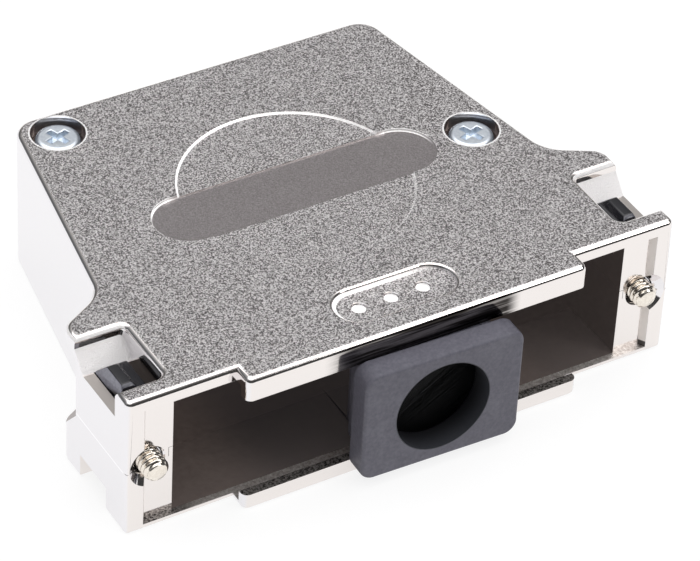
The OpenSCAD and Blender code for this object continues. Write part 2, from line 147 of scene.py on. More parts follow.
def put(tree, socket, value):
    """Sets an input to a number or a colour, or links it to an output."""
    if isinstance(value, (int, float)):
        socket.default_value = value
    elif isinstance(value, tuple):
        socket.default_value = (*value, 1)
    else:
        tree.links.new(value, socket)


def put_all(tree, node, values):
    """Puts values into the inputs of a node, by their names."""
    for name, value in values.items():
        put(tree, node.inputs[name], value)


def math_node(tree, operation, first, second=0.0):
    """The result of a Math node on sockets or numbers."""
    node = add(tree, "ShaderNodeMath", operation=operation)
    put(tree, node.inputs[0], first)
    put(tree, node.inputs[1], second)
    return node.outputs[0]


print("nodes can be added, set and linked")

# %% [markdown]
# ## Sums with masks
# A mask is a value from 0 to 1 over the surface: 1 where a finish lies and 0 elsewhere. Masks
# could be painted or stored as images, but as sums on a point's place they stay sharp at any
# size. The product of masks is where all of them hold, and the largest is where any does.

# %% Sums with masks


def product(tree, *values):
    """All values multiplied; of masks, where all of them hold."""
    result = values[0]
    for value in values[1:]:
        result = math_node(tree, "MULTIPLY", result, value)
    return result


def total(tree, *values):
    """All values added."""
    result = values[0]
    for value in values[1:]:
        result = math_node(tree, "ADD", result, value)
    return result


def largest(tree, *values):
    """The largest value; of masks, where any of them holds."""
    result = values[0]
    for value in values[1:]:
        result = math_node(tree, "MAXIMUM", result, value)
    return result


def opposite(tree, mask):
    """1 where a mask is 0, and 0 where it is 1."""
    return math_node(tree, "SUBTRACT", 1.0, mask)


def size_of(tree, value):
    """A value without its sign."""
    return math_node(tree, "ABSOLUTE", value)


def above(tree, value, limit):
    """1 where a value lies above a limit."""
    return math_node(tree, "GREATER_THAN", value, limit)


def below(tree, value, limit):
    """1 where a value lies below a limit."""
    return math_node(tree, "LESS_THAN", value, limit)


def between(tree, value, low, high):
    """1 where a value lies between two limits."""
    return product(tree, above(tree, value, low), below(tree, value, high))


def squares(tree, first, second):
    """Two values squared and added, which is a squared distance."""
    return total(tree, product(tree, first, first), product(tree, second, second))


def steps(tree, value, start, end):
    """A soft step from 0 at the start to 1 at the end."""
    node = add(tree, "ShaderNodeMapRange", interpolation_type="SMOOTHSTEP")
    put_all(tree, node, {"Value": value, "From Min": start, "From Max": end})
    return node.outputs["Result"]


print("masks can be multiplied, added and compared")

# %% [markdown]
# ## Helpers for colours
# Cast, moulded and plated skins are never one flat colour. A noise texture gives them random
# variation, a ramp turns a value into colours, and a mix lays one colour over another.

# %% Helpers for colours


def noise(tree, coords, scale, detail, roughness=0.5):
    """A noise texture's value, at scale features per metre."""
    node = add(tree, "ShaderNodeTexNoise")
    put_all(tree, node, {"Scale": scale, "Detail": detail, "Roughness": roughness,
                         "Vector": coords})
    return node.outputs["Fac"]


def ramp(tree, value, stops):
    """A colour ramp; stops is a list of (place, colour)."""
    node = add(tree, "ShaderNodeValToRGB")
    elements = node.color_ramp.elements
    while len(elements) < len(stops):
        elements.new(0.5)
    for element, (place, colour) in zip(elements, stops):
        element.position = place
        element.color = (*colour, 1)
    put(tree, node.inputs["Fac"], value)
    return node.outputs["Color"]


def mix_colour(tree, factor, first, second):
    """The first colour where the factor is 0, and the second where it is 1."""
    node = add(tree, "ShaderNodeMix", data_type="RGBA")
    for name, value in (("Factor", factor), ("A", first), ("B", second)):
        put(tree, [s for s in node.inputs if s.name == name and s.enabled][0], value)
    return [s for s in node.outputs if s.enabled][0]


print("colours can be made from noise, ramps and mixes")

# %% [markdown]
# ## Light tent
# The object was photographed on white in a light tent. Bright nickel shows what it mirrors:
# upright walls mirror the white floor, rounded rims catch the bright cloth overhead, and then
# the darker room as a thin dark line. An even white world would lose that line. So the world
# is two ramps by height, one on the camera's side and one behind the object.

# %% Light tent
WORLD_STRENGTH = 2.1
CAMERA_SIDE = [
    (0.0, (0.02, 0.02, 0.02)),
    (0.55, (0.03, 0.03, 0.03)),
    (0.68, (0.12, 0.12, 0.12)),
    (0.8, (0.85, 0.85, 0.86)),
    (1.0, (1.0, 1.0, 1.0)),
]
FAR_SIDE = [
    (0.0, (0.1, 0.1, 0.1)),
    (0.28, (0.05, 0.05, 0.05)),
    (0.5, (0.13, 0.13, 0.13)),
    (0.66, (0.26, 0.26, 0.26)),
    (0.8, (0.85, 0.85, 0.86)),
    (1.0, (1.0, 1.0, 1.0)),
]
SIDES_MEET = (-0.25, 0.1)


def build_world():
    """A world that is dark at eye height and bright overhead."""
    world = bpy.data.worlds.new("light_tent")
    world.use_nodes = True
    tree = world.node_tree
    coords = add(tree, "ShaderNodeTexCoord")
    split = add(tree, "ShaderNodeSeparateXYZ")
    put(tree, split.inputs[0], coords.outputs["Generated"])
    direction = split.outputs
    cloth = mix_colour(tree, steps(tree, direction["Y"], *SIDES_MEET),
                       ramp(tree, direction["Z"], CAMERA_SIDE),
                       ramp(tree, direction["Z"], FAR_SIDE))
    put_all(tree, tree.nodes["Background"], {"Color": cloth, "Strength": WORLD_STRENGTH})
    return world


bpy.context.scene.world = build_world()
bpy.context.scene.view_settings.view_transform = "Standard"
print("world", bpy.context.scene.world.name, "at strength", WORLD_STRENGTH)

# %% [markdown]
# ## Floor and lamp
# The sheet under the object is burnt out to pure white, and only a faint shadow is left. A
# white floor lit by lamps would turn grey near the object. So most of the floor's brightness
# is its own glow, and one weak lamp from the front right gives the shadow its side.

# %% Floor and lamp
FLOOR_Z = cad_box[0].z
FLOOR_HALF = 3.0
FLOOR_GREY = 0.2
FLOOR_GLOW = 0.83
LAMP_PLACE = Vector((0.45, -0.5, 0.45))
LAMP_TARGET = Vector((0, 0.02, 0))
LAMP_SIZE = 0.3
LAMP_WATTS = 1.0


def add_floor():
    """A wide floor at the height of the hood's underside."""
    mesh = bpy.data.meshes.new("floor")
    corners = [(-1, -1), (1, -1), (1, 1), (-1, 1)]
    places = [(x * FLOOR_HALF, y * FLOOR_HALF, FLOOR_Z) for x, y in corners]
    mesh.from_pydata(places, [], [(0, 1, 2, 3)])
    material, tree, shader = new_material("white_floor")
    put_all(tree, shader, {
        "Base Color": (FLOOR_GREY, FLOOR_GREY, FLOOR_GREY),
        "Roughness": 0.9,
        "Specular IOR Level": 0.0,
        "Emission Color": (1, 1, 1),
        "Emission Strength": FLOOR_GLOW,
    })
    mesh.materials.append(material)
    floor = bpy.data.objects.new("floor", mesh)
    bpy.context.scene.collection.objects.link(floor)


def add_lamp():
    """A round lamp that looks at the hood."""
    data = bpy.data.lights.new("front_right", "AREA")
    data.shape = "DISK"
    data.size = LAMP_SIZE
    data.energy = LAMP_WATTS
    lamp = bpy.data.objects.new("front_right", data)
    lamp.location = LAMP_PLACE
    lamp.rotation_mode = "QUATERNION"
    lamp.rotation_quaternion = (LAMP_TARGET - LAMP_PLACE).to_track_quat("-Z", "Y")
    bpy.context.scene.collection.objects.link(lamp)


add_floor()
add_lamp()
print("floor at", mm([FLOOR_Z]), "mm, lamp of", LAMP_WATTS, "W")

# %% [markdown]
# ## Grain group
# Cast and moulded skins share one effect: fine random pits that tilt the surface and change
# its brightness. It is a node group with named inputs, built once and used with other values
# by each material.

# %% Grain group


def build_grain_group():
    """Noise between a dark and a light colour, stretched around its middle."""
    group = bpy.data.node_groups.new("surface_grain", "ShaderNodeTree")
    new_socket = group.interface.new_socket
    new_socket("Size", in_out="INPUT", socket_type="NodeSocketFloat").default_value = 5000
    new_socket("Dark", in_out="INPUT", socket_type="NodeSocketColor")
    new_socket("Light", in_out="INPUT", socket_type="NodeSocketColor")
    new_socket("Contrast", in_out="INPUT", socket_type="NodeSocketFloat").default_value = 1
    new_socket("Colour", in_out="OUTPUT", socket_type="NodeSocketColor")
    new_socket("Height", in_out="OUTPUT", socket_type="NodeSocketFloat")
    enter = add(group, "NodeGroupInput").outputs
    leave = add(group, "NodeGroupOutput")
    coords = add(group, "ShaderNodeTexCoord").outputs["Object"]
    fine = noise(group, coords, enter["Size"], 3, 0.65)
    centred = math_node(group, "SUBTRACT", fine, 0.5)
    level = total(group, product(group, centred, enter["Contrast"]), 0.5)
    colour = mix_colour(group, level, enter["Dark"], enter["Light"])
    put_all(group, leave, {"Colour": colour, "Height": level})
    return group


grain_group = build_grain_group()


def grain(tree, size, dark, light, contrast):
    """Places the grain group: its colour and height outputs."""
    node = add(tree, "ShaderNodeGroup", node_tree=grain_group)
    put_all(tree, node, {"Size": size, "Dark": dark, "Light": light, "Contrast": contrast})
    return node.outputs["Colour"], node.outputs["Height"]


def bump(tree, shader, height, strength, distance):
    """Tilts the shader's surface by a height value."""
    node = add(tree, "ShaderNodeBump")
    put_all(tree, node, {"Strength": strength, "Distance": distance, "Height": height})
    put(tree, shader.inputs["Normal"], node.outputs["Normal"])


print("grain group has", len(grain_group.nodes), "nodes")

# %% [markdown]
# ## Nickel: where a point lies
# The castings' broad faces carry a coarse sparkling texture, while walls, edges and recesses
# are smooth and bright. One material can hold all of it when it knows where a point lies on the
# hood and which way its face looks. Object coordinates give both, from any camera.

# %% Place and direction


def position_parts(tree):
    """X, Y and Z of the place on the object, in metres, and the direction of its face."""
    coords = add(tree, "ShaderNodeTexCoord").outputs
    place = add(tree, "ShaderNodeSeparateXYZ")
    put(tree, place.inputs[0], coords["Object"])
    facing = add(tree, "ShaderNodeSeparateXYZ")
    put(tree, facing.inputs[0], coords["Normal"])
    return place.outputs, facing.outputs


def distance_from(tree, place, middle_y, reach):
    """Distance in plan from a line along X, which reaches as far to both sides."""
    across = math_node(tree, "SUBTRACT", place["Y"], middle_y)
    along = math_node(tree, "SUBTRACT", size_of(tree, place["X"]), reach)
    return math_node(tree, "SQRT", squares(tree, largest(tree, along, 0), across))


def squared_from(tree, place, x, y):
    """Squared distance in plan from a point."""
    return squares(tree, math_node(tree, "SUBTRACT", place["X"], x),
                   math_node(tree, "SUBTRACT", place["Y"], y))


print("places are read from the objects themselves")

# %% [markdown]
# ## Nickel: relief on the top
# The top has a low disc with a long recessed bar across it, a pad with three dimples behind
# the lip, and two counterbores. The bar and the pad have round ends, so each is all points
# within some distance of a short line. A sum of squares finds them, with no image.

# %% Relief on the top
BAR_Y = 0.02433
BAR_HALF = (0.0174, 0.004)
DISC_R = 0.0132
PAD_Y = 0.00325
PAD_HALF = (0.0072, 0.00265)


def slot_distance(tree, place, middle_y, half):
    """Distance in plan from the middle line of a long shape with round ends."""
    return distance_from(tree, place, middle_y, half[0] - half[1])


def bar_mask(tree, place):
    """1 inside the long bar."""
    return below(tree, slot_distance(tree, place, BAR_Y, BAR_HALF), BAR_HALF[1])


print("disc, pad and bar of half size", mm([DISC_R, *PAD_HALF, *BAR_HALF]), "mm")

# %% [markdown]
# ## Nickel: painted highlights on the relief's edges
# The relief's edges are a fraction of a millimetre wide and catch the light, most of all at the
# rear and left. Bevels that narrow need many faces and go wrong where edges are short. So the
# edges' highlights are painted as bright lines, each between two distances from the middle of its shape.

# %% Painted highlights on the relief's edges
HOUSING_SCREWS = {"rear_left": (-0.019, 0.0443), "middle_right": (0.022433, 0.0241)}
DISC_LINE = (DISC_R - 0.00021, DISC_R + 0.00004)
PAD_LINE = (PAD_HALF[1] - 0.00038, PAD_HALF[1] + 0.00004)
PAD_REACH = 0.004
BAR_LINE = (BAR_HALF[1] - 0.0001, BAR_HALF[1] + 0.00008)
BAR_END_X = (0.012, 0.0145)
BAR_REAR_Y = (BAR_Y - 0.001, BAR_Y + 0.003)
HOLE_LINE = (0.00312, 0.0033)
DISC_FRONT_STRENGTH = 0.35
HOLE_STRENGTH = 0.8


def rear_left(tree, place, middle_y, reach):
    """1 towards the rear and left of a middle, where the painted highlights are strongest, fading to 0 towards the
    front and right.
    """
    side = product(tree, place["X"], -0.4)
    rear = math_node(tree, "SUBTRACT", place["Y"], middle_y)
    return steps(tree, total(tree, side, rear), -0.3 * reach, 0.7 * reach)


def disc_highlight(tree, place):
    """The painted highlight on the disc's edge, which the bar interrupts."""
    line = between(tree, distance_from(tree, place, BAR_Y, 0), *DISC_LINE)
    lit = product(tree, rear_left(tree, place, BAR_Y, DISC_R), 1 - DISC_FRONT_STRENGTH)
    return product(tree, line, opposite(tree, bar_mask(tree, place)),
                   total(tree, lit, DISC_FRONT_STRENGTH))


def pad_highlight(tree, place):
    """The painted highlight on the edge of the pad behind the upper lip."""
    line = between(tree, slot_distance(tree, place, PAD_Y, PAD_HALF), *PAD_LINE)
    return product(tree, line, rear_left(tree, place, PAD_Y, PAD_REACH))


def bar_highlight(tree, place):
    """The painted highlight on the rear edge of the bar's two round ends."""
    line = between(tree, slot_distance(tree, place, BAR_Y, BAR_HALF), *BAR_LINE)
    at_ends = steps(tree, size_of(tree, place["X"]), *BAR_END_X)
    return product(tree, line, at_ends, steps(tree, place["Y"], *BAR_REAR_Y))


def hole_highlights(tree, place):
    """The painted highlights on the rims of the two counterbores."""
    low, high = (radius ** 2 for radius in HOLE_LINE)
    rims = [between(tree, squared_from(tree, place, x, y), low, high)
            for x, y in HOUSING_SCREWS.values()]
    return product(tree, largest(tree, *rims), HOLE_STRENGTH)


def relief_highlights(tree, place):
    """All painted highlights on the relief's edges."""
    return largest(tree, disc_highlight(tree, place), pad_highlight(tree, place),
                   bar_highlight(tree, place), hole_highlights(tree, place))


print("disc's line from radius", mm(DISC_LINE), "mm, counterbores' from", mm(HOLE_LINE), "mm")

# %% [markdown]
# ## Nickel: dimples
# Three round dimples lie in a row on the pad. Their shine is a painted highlight, like the relief's
# edges. Rounding the place to the nearest dimple gives the distance from it, so one sum serves all three.

# %% Dimples
DIMPLE_R = 0.00078
DIMPLE_PITCH = 0.00395
DIMPLE_X = -0.00045
DIMPLES_FROM_TO = (-0.0055, 0.0046)


def dimple_mask(tree, place):
    """1 on the three dimples of the pad."""
    across = math_node(tree, "SUBTRACT", place["Y"], PAD_Y)
    turn = math_node(tree, "DIVIDE", total(tree, place["X"], -DIMPLE_X), DIMPLE_PITCH)
    from_nearest = math_node(tree, "SUBTRACT", turn, math_node(tree, "ROUND", turn))
    along = product(tree, from_nearest, DIMPLE_PITCH)
    disc = below(tree, squares(tree, along, across), DIMPLE_R ** 2)
    return product(tree, disc, between(tree, place["X"], *DIMPLES_FROM_TO))


print("dimples every", mm([DIMPLE_PITCH]), "mm")

# %% [markdown]
# ## Nickel: recesses at the front
# The notches' ramps and the ledges under the broad faces are rough as cast, the seat's ends are
# drafted, and the upper lip is dark where the grommet keeps the light away. The shells' joint
# on the ears gets a fine painted highlight. Each mask is a box in space, and most also ask which
# way the face looks: a part of its direction near 1 or -1 means straight along that axis.

# %% Recesses at the front
OUTER_Z = 0.0084
SLOPING = (0.4, 0.75)
LEVEL = 0.8
SIDEWAYS = 0.5
FORWARD = -0.7
NOTCH_X = 0.0279
RAMP_Y = 0.0096
SEAT_END_X = (0.0305, 0.0318)
SEAT_END_Y = (0.00002, 0.00079)
LIP_Y = -0.0022
LIP_Z = 0.0064
SHADE_LEFT = (-0.012, -0.008)
SHADE_RIGHT = (0.0125, 0.0105)
EAR_WALL_X = 0.0336
SEAM_Z = -0.0003
SEAM_HALF = 0.00006


def ramp_mask(tree, side, place, facing):
    """1 on the sloping ramps of the two upper notches."""
    return product(tree, between(tree, facing["Z"], *SLOPING), above(tree, side, NOTCH_X),
                   above(tree, place["Y"], RAMP_Y))


def ledge_mask(tree, place, facing):
    """1 on the flat ledges below the broad faces at the front."""
    return product(tree, above(tree, facing["Z"], LEVEL),
                   between(tree, place["Z"], -OUTER_Z, OUTER_Z),
                   below(tree, place["Y"], RAMP_Y))


def groove_mask(tree, side, place, facing):
    """1 on the drafted ends of the seat for the connector's flange."""
    return product(tree, above(tree, size_of(tree, facing["X"]), SIDEWAYS),
                   between(tree, side, *SEAT_END_X), between(tree, place["Y"], *SEAT_END_Y))


def shaded_lip_mask(tree, place, facing):
    """1 on the upper lip's front where the grommet keeps the light away."""
    return product(tree, below(tree, place["Y"], LIP_Y), below(tree, facing["Y"], FORWARD),
                   steps(tree, place["X"], *SHADE_LEFT), steps(tree, place["X"], *SHADE_RIGHT),
                   above(tree, place["Z"], LIP_Z))


def seam_highlight_mask(tree, side, place):
    """1 on the joint between the shells at the ears' outer walls, where a thin highlight is painted."""
    return product(tree, above(tree, side, EAR_WALL_X),
                   between(tree, place["Z"], SEAM_Z - SEAM_HALF, SEAM_Z + SEAM_HALF))


print("ramps and ledges end at Y", mm([RAMP_Y]), "mm, joint at Z", mm([SEAM_Z]), "mm")

# %% [markdown]
# ## Nickel: inside of the shells
# Light hardly reaches the cavity, so it is painted a dull brown grey shade. Its side walls taper
# towards the rear, so the mask's width shrinks with the depth.

# %% Inside of the shells
CAVITY_SIDE_X = 0.0305
CAVITY_TAPER = 0.17
MOUTH_X = 0.02785
CAVITY_Z = 0.00787
CAVITY_Y = (0.00082, 0.0474)


def inside_mask(tree, side, place):
    """1 inside the shells: between the side walls, floor and roof."""
    tapered = total(tree, side, product(tree, place["Y"], CAVITY_TAPER))
    return product(tree, below(tree, tapered, CAVITY_SIDE_X), below(tree, side, MOUTH_X),
                   below(tree, size_of(tree, place["Z"]), CAVITY_Z),
                   between(tree, place["Y"], *CAVITY_Y))


print("cavity from Y", mm(CAVITY_Y), "mm")

# %% [markdown]
# ## Nickel: all masks
# The colours, the glow and the roughness all ask where the same finishes lie. Building every
# mask once, and handing them round by name, keeps the tree small and the questions readable.

# %% All masks of the nickel
BROAD_FACE = (0.93, 0.99)


def nickel_masks(tree):
    """Where each finish of the nickel lies, by name."""
    place, facing = position_parts(tree)
    side = size_of(tree, place["X"])
    outer = above(tree, size_of(tree, place["Z"]), OUTER_Z)
    textured = product(tree, steps(tree, size_of(tree, facing["Z"]), *BROAD_FACE), outer)
    return {
        "place": place,
        "facing": facing,
        "side": side,
        "textured": textured,
        "bar": bar_mask(tree, place),
        "dimple": product(tree, textured, dimple_mask(tree, place)),
        "painted_highlight": product(tree, relief_highlights(tree, place), outer),
        "ramp": ramp_mask(tree, side, place, facing),
        "ledge": ledge_mask(tree, place, facing),
        "groove": groove_mask(tree, side, place, facing),
        "shaded_lip": shaded_lip_mask(tree, place, facing),
        "seam_highlight": seam_highlight_mask(tree, side, place),
        "inside": inside_mask(tree, side, place),
    }


print("masks are built together")

# %% [markdown]
# ## Nickel: colours of the broad faces and walls
# The textured top is a mix of nearly black pits and nearly white tips, so its grain has a high
# contrast. The bar's grain is darker and more even. Walls that look forward mirror something
# warm, and walls that look sideways something cooler, so the walls' nickel gets these two
# tints as painted reflections.

# %% Broad faces and walls
GRAIN_PER_METRE = 6000
PIT = (0.13, 0.118, 0.118)
TIP = (0.87, 0.84, 0.84)
BAR_PIT = (0.22, 0.2, 0.2)
BAR_TIP = (0.37, 0.345, 0.345)
FRONT_WALL_WARM_REFLECTION = (0.86, 0.815, 0.79)
SIDE_WALL_COOL_REFLECTION = (0.85, 0.835, 0.855)
TURNS_SIDEWAYS = (0.3, 0.8)
HIGHLIGHT_WHITE = (1.0, 0.98, 0.97)


def broad_face(tree, masks):
    """Colour of the textured top with its bar, and the height of its grain."""
    colour, height = grain(tree, GRAIN_PER_METRE, PIT, TIP, 6.5)
    bar_colour, _ = grain(tree, GRAIN_PER_METRE, BAR_PIT, BAR_TIP, 3)
    return mix_colour(tree, masks["bar"], colour, bar_colour), height


def outside_colour(tree, masks, top):
    """The top where it is textured, and smooth walls elsewhere with painted reflection tints, with the relief's
    painted highlights.
    """
    sideways = steps(tree, size_of(tree, masks["facing"]["X"]), *TURNS_SIDEWAYS)
    # painted reflection: forward walls warm, sideways walls cool
    wall = mix_colour(tree, sideways, FRONT_WALL_WARM_REFLECTION, SIDE_WALL_COOL_REFLECTION)
    colour = mix_colour(tree, masks["textured"], wall, top)
    # painted highlights: the relief's edges and the dimples are laid on in near white
    for name in ("painted_highlight", "dimple"):
        colour = mix_colour(tree, masks[name], colour, HIGHLIGHT_WHITE)
    return colour


print("texture of", GRAIN_PER_METRE, "grains per metre")

# %% [markdown]
# ## Nickel: colours of the recesses
# The upper ledge has painted shade up to the ears. The lower one is mottled, with painted shade
# beside the left ear and painted light further right. The seat's ends are a light, warm strip
# whose foot is darkened by painted shade, and the shaded part of the lip is painted dark with
# streaks that stand for the grommet's reflection. Each is a small mix of its own, and all are
# laid over the outside in turn, so that one can be changed without the others.

# %% Recesses
CAST = (0.98, 0.955, 0.95)
UPPER_LEDGE_SHADED_LIT = ((0.05, 0.042, 0.038), (0.42, 0.39, 0.37))
UPPER_LEDGE_SHADE_END_X = (0.0291, 0.0295)
LOWER_LEDGE_SHADED = ((0.03, 0.026, 0.024), (0.5, 0.47, 0.45))
LOWER_LEDGE_LIT = ((0.55, 0.5, 0.47), (1.0, 0.97, 0.94))
LIT_LEDGE_X = (-0.0285, -0.024)
LIT_LEDGE_Z = (-0.0069, -0.0072)
SEAT_END_SHADE_AND_WALL = ((0.07, 0.06, 0.055), (0.98, 0.91, 0.86))
SEAT_END_SHADE_Z = (-0.0072, -0.00705)
SHADED_LIP = ((0.03, 0.026, 0.024), (0.3, 0.28, 0.27))
INSIDE_SHADE_BROWN = (0.2, 0.17, 0.16)


def shaded_and_lit_ledges(tree, masks):
    """The upper and the lower ledge, told apart by their height, with painted shade and light."""
    place = masks["place"]
    # painted shade on the upper ledge up to the ears, painted light on them
    high = mix_colour(tree, steps(tree, masks["side"], *UPPER_LEDGE_SHADE_END_X), *UPPER_LEDGE_SHADED_LIT)
    dark, _ = grain(tree, 4500, *LOWER_LEDGE_SHADED, 4)
    light, _ = grain(tree, 3000, *LOWER_LEDGE_LIT, 3)
    # painted shade at the left of the lower ledge, painted light further right, over its mottled grain
    lit = product(tree, steps(tree, place["X"], *LIT_LEDGE_X),
                  steps(tree, place["Z"], *LIT_LEDGE_Z))
    low = mix_colour(tree, lit, dark, light)
    return mix_colour(tree, steps(tree, place["Z"], -0.001, 0.001), low, high)


def painted_reflection_streaks(tree):
    """Painted dark streaks along X for the grommet's reflection: noise that is stretched that way."""
    stretch = add(tree, "ShaderNodeVectorMath", operation="MULTIPLY")
    stretch.inputs[1].default_value = (0.04, 1, 1)
    put(tree, stretch.inputs[0], add(tree, "ShaderNodeTexCoord").outputs["Object"])
    return steps(tree, noise(tree, stretch.outputs[0], 3600, 2), 0.4, 0.62)


def with_recesses(tree, masks, colour):
    """Lays the recesses' colours over the outside's."""
    # painted shade darkens the foot of the seat's ends
    above_shade = steps(tree, masks["place"]["Z"], *SEAT_END_SHADE_Z)
    layers = {
        "ledge": shaded_and_lit_ledges(tree, masks),
        "ramp": CAST,
        "groove": mix_colour(tree, above_shade, *SEAT_END_SHADE_AND_WALL),
        # painted shade and painted reflection of the grommet on the lip
        "shaded_lip": mix_colour(tree, painted_reflection_streaks(tree), *SHADED_LIP),
        # painted shade: the cavity's dull brown grey
        "inside": INSIDE_SHADE_BROWN,
    }
    for name, layer in layers.items():
        colour = mix_colour(tree, masks[name], colour, layer)
    return colour


print("recesses have colours of their own")

# %% [markdown]
# ## Nickel: glow
# Few light paths find their way into the cavity and onto the thin lines, so a faint glow
# stands in for them as painted light: brown inside, with painted shade behind the grommet and at
# the far right. More light paths would do the same in a much longer time.

# %% Glow
CAVITY_GLOW = ((0.02, 0.015, 0.013), (0.045, 0.036, 0.032))
CAVITY_SHADE = (0.008, 0.008, 0.009)
GROMMET_SHADE_LEFT = (-0.022, -0.013)
GROMMET_SHADE_RIGHT = (0.013, 0.009)
FAR_RIGHT_SHADE_X = (0.017, 0.021)
LINE_GLOW = 0.3
SEAM_HIGHLIGHT_GLOW = 0.2


def cavity_glow(tree, place):
    """The faint light inside the shells."""
    glow, _ = grain(tree, 1500, *CAVITY_GLOW, 1.5)
    # painted shade behind the grommet and at the far right of the cavity
    shade_behind_grommet = product(tree, steps(tree, place["X"], *GROMMET_SHADE_LEFT),
                             steps(tree, place["X"], *GROMMET_SHADE_RIGHT), 0.8)
    far_right_shade = product(tree, steps(tree, place["X"], *FAR_RIGHT_SHADE_X), 0.5)
    return mix_colour(tree, largest(tree, shade_behind_grommet, far_right_shade), glow, CAVITY_SHADE)


def nickel_glow(tree, masks):
    """Light of the cavity, the relief's lines and the joint."""
    # painted highlights: the relief's lines and the dimples glow faintly
    lines = largest(tree, masks["dimple"], masks["painted_highlight"])
    # painted highlight: the joint glows faintly
    lit = largest(tree, product(tree, lines, LINE_GLOW), product(tree, masks["seam_highlight"], SEAM_HIGHLIGHT_GLOW))
    outside = mix_colour(tree, lit, (0.0, 0.0, 0.0), (1.0, 1.0, 1.0))
    return mix_colour(tree, masks["inside"], outside, cavity_glow(tree, masks["place"]))


print("glow of lines", LINE_GLOW, "and of the joint", SEAM_HIGHLIGHT_GLOW)

# %% [markdown]
# ## Nickel: roughness and relief
# The walls are nearly polished, the texture is satin, and rough cast skins scatter the light
# and are hardly mirrors. Each mask adds its share to one roughness. The grain's height tilts
# the surface where there is texture, less in the bar and not at all in the dimples.

# %% Roughness and relief
WALL_ROUGHNESS = 0.1
TEXTURE_ADDS = 0.26
INSIDE_ADDS = 0.3
CAST_ADDS = 0.45
CAST_LESS_METALLIC = 0.8
BAR_LESS_RELIEF = 0.75
RAMP_RELIEF = 0.6


def nickel_roughness(tree, masks):
    """Nearly polished walls, satin texture, dull recesses."""
    cast = largest(tree, masks["ramp"], masks["ledge"], masks["groove"])
    return total(tree, product(tree, masks["textured"], TEXTURE_ADDS), WALL_ROUGHNESS,
                 product(tree, masks["inside"], INSIDE_ADDS), product(tree, cast, CAST_ADDS))


def nickel_metallic(tree, masks):
    """Metal everywhere, and least on the ramps and the seat's ends."""
    matt = largest(tree, masks["ramp"], masks["groove"])
    return opposite(tree, product(tree, matt, CAST_LESS_METALLIC))


def nickel_relief(tree, masks):
    """How deep the grain is: full on the texture, less in the bar, none in the dimples."""
    beside_bar = opposite(tree, product(tree, masks["bar"], BAR_LESS_RELIEF))
    textured = product(tree, masks["textured"], beside_bar, opposite(tree, masks["dimple"]))
    return total(tree, textured, product(tree, masks["ramp"], RAMP_RELIEF))


print("roughness from", WALL_ROUGHNESS, "on the walls")

# %% [markdown]
# ## Nickel: the material
# Masks, colours, glow and relief come together in one material. Each finish could be a material
# of its own on its own faces, but the CAD meshes stay as they are, and the finishes change
# within a face. Both shells share the material, so that it runs on over their joint.

# %% Nickel material


def nickel_material():
    """Textured and polished nickel over the whole casting."""
    material, tree, shader = new_material("textured_nickel")
    masks = nickel_masks(tree)
    top, grain_height = broad_face(tree, masks)
    put_all(tree, shader, {
        "Base Color": with_recesses(tree, masks, outside_colour(tree, masks, top)),
        "Emission Color": nickel_glow(tree, masks),
        "Emission Strength": 1.0,
        "Roughness": nickel_roughness(tree, masks),
        "Metallic": nickel_metallic(tree, masks),
    })
    relief = product(tree, grain_height, nickel_relief(tree, masks))
    bump(tree, shader, relief, 0.5, 0.00005)
    return material


nickel = nickel_material()
print(nickel.name, "has", len(nickel.node_tree.nodes), "nodes")

# %% [markdown]
# ## Zinc and steel
# The housing screws are bright zinc with a faint blue passivation, and the jackscrews are a
# warmer nickelled steel. Both are plain metals with a little grain, so one function makes them.

# %% Zinc and steel


def screw_metal(name, dark, light, roughness):
    """A turned and plated metal."""
    material, tree, shader = new_material(name)
    colour, height = grain(tree, 2600, dark, light, 1.6)
    put_all(tree, shader, {"Base Color": colour, "Metallic": 1.0, "Roughness": roughness})
    bump(tree, shader, height, 0.2, 0.00003)
    return material


zinc = screw_metal("bright_zinc", (0.66, 0.72, 0.8), (0.9, 0.95, 1.0), 0.3)
steel = screw_metal("nickelled_steel", (0.75, 0.68, 0.6), (0.93, 0.88, 0.8), 0.16)
print("screw metals", zinc.name, steel.name)

# %% [markdown]
# ## Black plastic
# The blocks in the pockets are glossy black mouldings. Their outer slopes get a painted lavender
# grey sheen, a painted reflection, and a little of that is painted on the slope at their front.
# The direction of the face finds the slopes on both blocks at once.

# %% Black plastic
BLACK = ((0.003, 0.003, 0.005), (0.009, 0.009, 0.013))
SLOPE_SHEEN = ((0.17, 0.17, 0.21), (0.3, 0.3, 0.35))
FRONT_SHEEN = 0.35


def black_plastic_material():
    """Black moulding with a painted sheen on its slopes."""
    material, tree, shader = new_material("black_moulding")
    place, facing = position_parts(tree)
    colour, height = grain(tree, 1800, *BLACK, 1)
    # painted reflection: a lavender grey sheen for the outward and front slopes
    sheen, _ = grain(tree, 2600, *SLOPE_SHEEN, 1.5)
    outward = product(tree, facing["X"], math_node(tree, "SIGN", place["X"]))
    outer = product(tree, steps(tree, outward, 0.6, 0.8), steps(tree, facing["Z"], 0.15, 0.25))
    front = product(tree, between(tree, facing["Y"], -0.8, -0.4),
                    steps(tree, facing["Z"], 0.4, 0.5), FRONT_SHEEN)
    put_all(tree, shader, {
        "Base Color": mix_colour(tree, largest(tree, outer, front), colour, sheen),
        "Roughness": 0.2,
        "Coat Weight": 0.2,
    })
    bump(tree, shader, height, 0.06, 0.00003)
    return material


black_plastic = black_plastic_material()
print(black_plastic.name, "scuffed on its slopes")

# %% [markdown]
# ## Rubber
# The grommet is matt rubber, a blue grey near black, with a fine moulded skin, a little dust
# and painted shade in its bore that grows darker with depth. The bore's place and size come from
# the frame's own record, where it is a mount for the cable.

